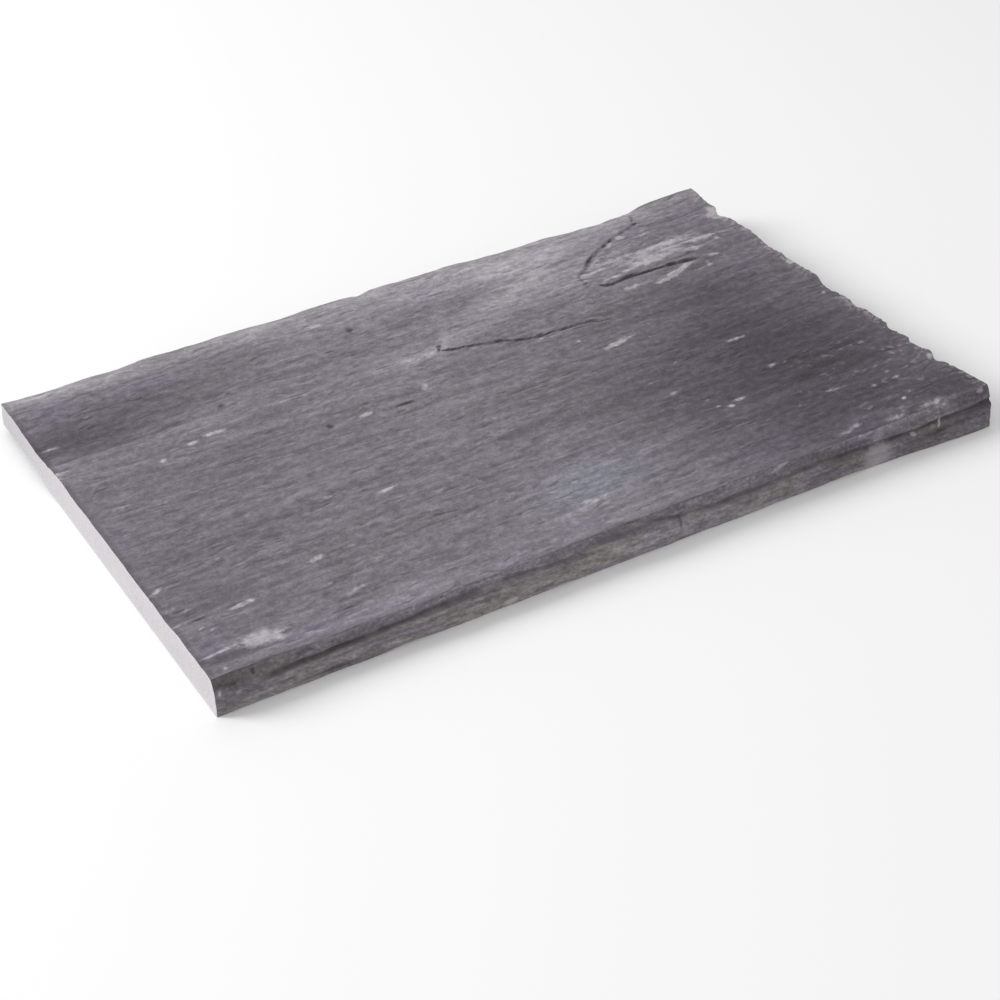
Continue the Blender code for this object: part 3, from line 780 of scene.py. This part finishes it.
slateFinish = {
    "ground": (0.199, 0.178, 0.207, 1.0),
    "warm": (0.199, 0.178, 0.205, 1.0),
    "dustAndHighlight": (0.50, 0.475, 0.51, 1.0),
    "deep": (0.206, 0.177, 0.219, 1.0),
    "rear": (0.196, 0.184, 0.196, 1.0),
    "haze": (0.200, 0.210, 0.245, 1.0),
    "bloom": (0.194, 0.176, 0.232, 1.0),
    "broken": (0.188, 0.1675, 0.191, 1.0),
    "brokenPale": (0.2035, 0.1875, 0.1865, 1.0),
    # paler than the sawn stone's own grey, partly painted light for the strong light on the sawn side
    "sawn": (0.50, 0.48, 0.50, 1.0),
    "bed": (0.20, 0.19, 0.20, 1.0),
    "dark": (0.018, 0.016, 0.018, 1.0),
    "roughness": 0.68,
    "specular": 0.25,
    "bump": {"Distance": 0.0008, "Strength": 0.6},
    "wander": [(0.02, 2.0, 9.0), (0.09, 1.0, 4.0)],  # the grain's bends: noise scale, detail, reach
    "wavyGrains": ("cloud", "band", "dash", "lump", "thin", "thread"),
    "levelGrains": ("speck", "patch", "gape", "chunk", "grit", "soil", "leafy", "sawMark"),
    "lineGap": 1.4,  # from a dark line of painted shade to the pale one of painted highlight above it
    "slant": -0.5,  # of the strokes on the broken edges
    "flecked": 0.20,  # strengths of the pale dust, the last one painted highlight on the flakes
    "chipped": 0.36,
    "flakeHighlight": 0.50,
    "darkMarkShade": 0.78,  # strengths of the dark marks, painted shade in pits and cracks
    "crackShade": 0.68,
    "grooveShade": 0.70,
    "frontMark": 0.7,
    "foot": 0.31,  # how much paler the broken edges get towards the bed
    "brow": 0.12,  # how much darker they are over the groove, as painted shade
}

# Noises of the stone: size in millimetres each way, detail, roughness, seed
slateGrains = {
    "cloud": ((130, 34, 30), 2.0, 0.5, 3.0),
    "band": ((60, 12, 9.0), 3.0, 0.55, 7.0),
    "dash": ((18, 3.6, 3.0), 2.0, 0.5, 11.0),
    "lump": ((4.6, 3.4, 3.0), 2.0, 0.5, 15.0),
    "speck": ((1.7, 1.5, 1.3), 1.0, 0.5, 17.0),
    "thin": ((14, 2.5, 2.0), 1.0, 0.5, 37.0),
    "thread": ((52, 2.8, 2.0), 2.0, 0.5, 47.0),
    "patch": ((30, 16, 15), 1.0, 0.5, 13.0),
    "gape": ((13, 13, 10), 1.0, 0.5, 19.0),
    "stroke": ((6.5, 3, 1.7), 2.0, 0.55, 33.0),
    "chunk": ((9, 8, 5), 3.0, 0.55, 23.0),
    "grit": ((2.6, 2.2, 1.6), 3.0, 0.6, 29.0),
    "soil": ((60, 40, 14), 2.0, 0.5, 25.0),
    "leafy": ((44, 30, 2.8), 2.0, 0.5, 43.0),
    "sawMark": ((5, 1.6, 26), 3.0, 0.55, 31.0),
}

# Two patches of the top, pale dust on the first and painted highlight on the flakes in the second: middle,
# half sizes
fleckedPatch = ((455, 50), (56, 40))
flakeHighlightPatch = ((428, 241), (58, 15))


def slateMaterial(shift):
    s = slateFinish
    f = Finish("rivenSlateFinish", s["roughness"], s["specular"])
    spot = f.node("TexCoord", {}, {}, "Object")
    place = f.node("Mapping", {"vector_type": "POINT"},
                   {"Vector": spot, "Location": tuple(-shift / mm), "Scale": (1 / mm,) * 3})
    px, py, pz = (f.node("SeparateXYZ", {}, {"Vector": place}, axis) for axis in "XYZ")
    wavy = place
    for scale, detail, reach in s["wander"]:
        bend = f.node("TexNoise", {}, {"Vector": place, "Scale": scale, "Detail": detail}, "Color")
        wavy = f.node("VectorMath", {"operation": "MULTIPLY_ADD"}, {0: bend, 1: (0.0, reach, 0.0), 2: wavy})
    wavyBelow = f.node("VectorMath", {"operation": "ADD"}, {0: wavy, 1: (0.0, s["lineGap"], 0.0)})
    slanted = f.node("Mapping", {"vector_type": "POINT"},
                     {"Vector": place, "Rotation": (0.0, s["slant"], 0.0)})

    cloud, band, dash, lump, thin, thread = (f.grain(name, wavy) for name in s["wavyGrains"])
    speck, patch, gape, chunk, grit, soil, leafy, sawMark = (
        f.grain(name, place) for name in s["levelGrains"])
    stroke = f.grain("stroke", slanted)
    broken = f.painted("broken")
    sawn = f.painted("sawn")
    level = f.painted("level")
    edgeTone = f.painted("edgeTone")

    # the top's tone, as the exponent of a brightness
    patchy = patch.ramp(-0.16, 0.14) * 0.8 + 0.2
    # a dark line of painted shade with a pale line of painted highlight beside it, as a small ledge shows
    # under the light
    line = thin.ramp(0.10, 0.20) * patchy
    paleLine = f.grain("thin", wavyBelow).ramp(0.11, 0.20) * patchy
    leftRim = px.ramp(5.0, 1.0) * (lump * 1.5 + 0.30)
    backRim = py.ramp(293.5, 298.0) * (lump * 1.5 + 0.18)
    tone = f.painted("tone") - leftRim - backRim
    near = f.painted("nearHollow")
    wide = f.painted("wideHollow")
    # paler on crests as wear, darker in the mesh's hollows as painted shade
    wearAndHollowShade = near.ramp(0.02, -0.12) * 0.10 - near.ramp(0.0, 0.16) * 0.12 - wide.ramp(0.2, 1.6) * 0.15
    # painted shade along the creases of the cleft face, and darker in patches within 10 mm of the front
    crease = f.painted("crease") * 0.16 + py.ramp(10.0, 5.5) * (lump + band).ramp(-0.08, 0.16) * 0.26
    value = tone + cloud * 0.24 + band * 0.45 + dash * 0.62 + lump * 0.95 + speck * 0.50 + wearAndHollowShade - crease
    value = value + paleLine * 0.16 - line * 0.34
    value = value - thread.ramp(0.09, 0.20) * 0.20 + thread.ramp(-0.09, -0.20) * 0.10

    # its tint
    atRear = py.ramp(280.0, 298.0).most(tone.ramp(0.15, 0.85))
    ground = f.mix(cloud.ramp(-0.15, 0.15), s["ground"], s["warm"])
    ground = f.mix(tone.ramp(-0.20, -0.90), ground, s["deep"])
    ground = f.mix(atRear * 0.8, ground, s["rear"])
    ground = f.mix(f.painted("bloom").ramp(0.0, 1.3) * (band * 1.5 + 0.85), ground, s["bloom"])
    ground = f.mix(f.painted("haze").ramp(0.0, 1.2) * 0.8, ground, s["haze"])
    top = f.scaled(ground, value.exp())

    # white dust in the scuffs and along the chipped rim, with painted highlight on the flakes, the raised lip
    # and beside cracks
    rag = dash + lump + speck * 0.25
    scuffAndHighlight = f.painted("scuffAndHighlight")
    scuffDustAndHighlight = (scuffAndHighlight + rag * scuffAndHighlight.ramp(0.05, 0.35) * 0.6).ramp(0.10, 0.66) * (lump * 1.3 + speck * 0.5 + 0.66)
    flecked = inOval(px, py, *fleckedPatch).ramp(1.3, 0.5) * (lump + dash * 0.8).ramp(0.14, 0.30)
    chipped = f.painted("rim") * (lump * 1.2 + speck * 0.8 + cloud).ramp(0.02, 0.20)
    flakeHighlight = inOval(px, py, *flakeHighlightPatch).ramp(1.3, 0.4) * (dash + band * 1.2 + lump * 0.6).ramp(0.0, 0.26)
    dustAndHighlight = scuffDustAndHighlight.most(flecked * s["flecked"]).most(chipped * s["chipped"]).most(flakeHighlight * s["flakeHighlight"])
    top = f.mix(dustAndHighlight, top, s["dustAndHighlight"])

    # painted shade in pits, short dark lines and cracks
    dark = f.painted("darkMark")
    darkMarkShade = (dark + (rag + speck * 0.4) * 0.7 * dark.ramp(0.05, 0.35)).ramp(0.18, 0.80)
    opened = gape * 1.4 + lump * 0.8 + 0.26
    crackShade = (opened - f.painted("crack")).ramp(-0.12, 0.20)
    top = f.mix((darkMarkShade * s["darkMarkShade"]).most(crackShade * s["crackShade"]), top, s["dark"])

    # broken edges, below the groove
    streak = leafy * 0.9
    # the hollows of the broken edges are darker too, as painted shade
    brokenTone = chunk + stroke * 0.8 + grit * 1.3 + streak + wearAndHollowShade * 1.2 + level.ramp(0.75, 0.10) * s["foot"]
    brokenTone = (brokenTone + edgeTone - px.ramp(415.0, 450.0) * 0.55).exp()
    palePart = (soil + streak).ramp(-0.13, 0.11) * (1 - px.ramp(440.0, 475.0) * 0.4)
    lower = f.scaled(f.mix(palePart, s["broken"], s["brokenPale"]), brokenTone)
    above = f.painted("aboveGroove") + chunk * 0.08
    # painted shade in the groove under the brow
    grooveShade = above.ramp(-0.17, -0.02) * above.ramp(0.10, 0.0) * broken
    grooveShade = grooveShade * f.painted("grooveShade") * (soil * 1.4 + grit * 1.5 + 0.80)

    # the brow over the groove takes the top's colour, darkened as painted shade, most just under the arris at
    # the left
    arris = level.ramp(0.965, 0.995) * px.ramp(380.0, 340.0) * (chunk * 1.5 + 0.22)
    browTone = (grit * 1.4 + chunk * 0.7 + edgeTone - s["brow"] - arris) * broken
    brow = f.mix(px.ramp(60.0, 35.0) * broken * 0.75, top, s["brokenPale"])
    brow = f.scaled(brow, browTone.exp())
    colour = f.mix(broken * above.ramp(0.06, 0.0), brow, lower)
    # the groove's painted shade laid on
    colour = f.mix(grooveShade * s["grooveShade"], colour, s["dark"])
    onFront = py.ramp(12.0, 8.0) * broken
    # pale marks of dust, and dark marks of painted shade in thin cracks and pits
    for mark in frontMarks:
        mask = (inOval(px, pz, mark[:2], mark[2:4], mark[4]) + grit * 4.0 + chunk * 2.0).ramp(1.9, 0.1)
        shade = s["dustAndHighlight"] if mark[5] > 0 else s["dark"]
        colour = f.mix(mask * onFront * abs(mark[5]) * s["frontMark"], colour, shade)

    # sawn side and bed
    # the sawn side darker towards the back as painted shade of the light's falloff, and darker in hollows as
    # painted shade
    sawnTone = (sawMark * 0.16 + speck * 0.14 + soil * 0.12 + wearAndHollowShade * 0.5 - py.ramp(180.0, 300.0) * 0.16).exp()
    colour = f.mix(sawn, colour, f.scaled(s["sawn"][:3], sawnTone))
    colour = f.mix(f.painted("bed"), colour, s["bed"])
    feed(f.inputs["Base Color"], colour)

    rough = s["roughness"] + lump * 0.25 + broken * 0.2 + sawn * 0.2 + scuffDustAndHighlight * 0.15
    feed(f.inputs["Roughness"], rough)
    relief = dash * 0.50 + lump * 0.80 + speck * 0.45 + band * 0.25 - line * 0.16 + grit * 0.9 * broken
    feed(f.inputs["Normal"], f.node("Bump", {}, {"Height": relief, **s["bump"]}, "Normal"))
    return f.material


def plainMaterial(name, colour, roughness):
    f = Finish(name, roughness, specular=0.1)
    f.inputs["Base Color"].default_value = colour
    return f.material


studio = {
    "floorSize": 14.0,
    "floorDrop": 0.0002,  # just under the slab, so the two don't flicker
    "floor": (0.96, 0.96, 0.96, 1.0),
    "sky": 0.62,
    "keyPower": 92.0,
    "keyPlace": (-2.7, 1.5, 1.8),
    "keySize": 1.6,
    "topPower": 1.0,
    "topPlace": (0.15, 0.45, 1.7),
    "topSize": 1.6,
}


def areaLight(name, place, size, power):
    bpy.ops.object.light_add(type="AREA", location=place)
    lamp = bpy.context.object
    lamp.name = name
    lamp.data.shape = "DISK"
    lamp.data.size = size
    lamp.data.energy = power
    lamp.rotation_euler = (-Vector(place)).to_track_quat("-Z", "Y").to_euler()


def makeStudio():
    s = studio
    bpy.ops.mesh.primitive_grid_add(x_subdivisions=4, y_subdivisions=4, size=s["floorSize"],
                                    location=(0, 0, -s["floorDrop"]))
    floor = bpy.context.object
    floor.name = "paleFloor"
    floor.data.materials.append(plainMaterial("paleFloorFinish", s["floor"], 0.9))
    areaLight("keyLight", s["keyPlace"], s["keySize"], s["keyPower"])
    areaLight("topLight", s["topPlace"], s["topSize"], s["topPower"])
    world = bpy.data.worlds.new("studioSky")
    world.use_nodes = True
    sky = world.node_tree.nodes["Background"]
    sky.inputs["Color"].default_value = (1, 1, 1, 1)
    sky.inputs["Strength"].default_value = s["sky"]
    bpy.context.scene.world = world
    bpy.context.scene.view_settings.view_transform = "Standard"


camera = {
    "place": (-266.7, -711.3, 662.2),
    "azimuth": -31.17,
    "elevation": 35.45,
    "roll": -0.28,
    "lens": 72.47,
    "sensor": 36.0,
}


def makeCamera(shift):
    c = camera
    bpy.ops.object.camera_add(location=Vector(c["place"]) * mm + shift)
    eye = bpy.context.object
    eye.name = "studioCamera"
    eye.data.lens = c["lens"]
    eye.data.sensor_width = c["sensor"]
    turn = Euler((math.radians(90 - c["elevation"]), 0, math.radians(c["azimuth"])), "XYZ").to_matrix()
    roll = Euler((0, 0, math.radians(c["roll"])), "XYZ").to_matrix()
    eye.rotation_euler = (turn @ roll).to_euler()
    bpy.context.scene.camera = eye


piece, shift = makeSlab()
piece.data.materials.append(slateMaterial(shift))
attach(piece, "root")
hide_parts("slate_slab")
print("stone: shaped and coloured")

makeStudio()
makeCamera(shift)
print("studio: floor, lights and camera")
